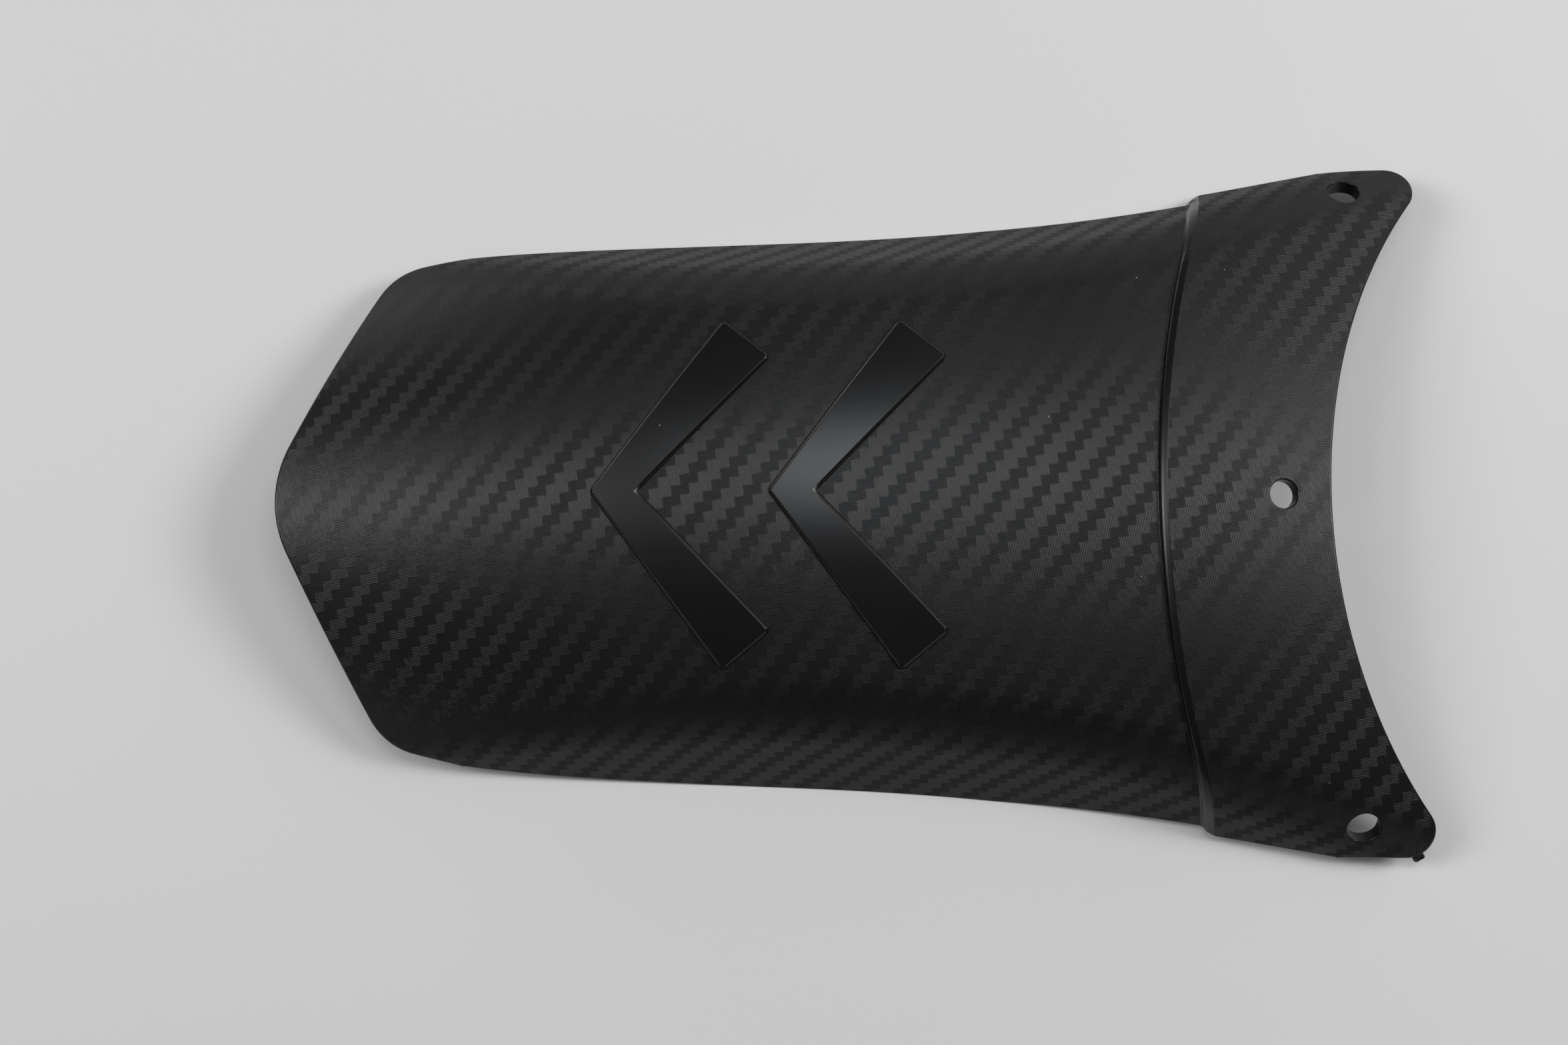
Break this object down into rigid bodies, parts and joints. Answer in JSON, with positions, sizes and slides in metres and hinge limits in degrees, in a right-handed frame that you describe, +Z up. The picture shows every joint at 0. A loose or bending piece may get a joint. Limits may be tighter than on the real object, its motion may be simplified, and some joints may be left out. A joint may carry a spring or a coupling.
{
  "type": "motorcycle fender extension",
  "caption": "Arched moulded plastic fender extension with a blunt pointed nose, raised chevrons and a stepped mounting flange with a crescent end and screw holes.",
  "frame": {"origin": "middle of the part from above, level with the side edges it rests on", "axes": "+X from the pointed nose to the mounting flange, +Z up through the crown of the arch, +Y across the arch; the part mirrors about the XZ plane"},
  "size_m": [0.2455, 0.1516, 0.0346],
  "materials": {
    "shell": "satin black with an embossed twill weave, chevrons smooth"
  },
  "bodies": {
    "root": {"fender_extension": "shell"}
  },
  "joints": []
}
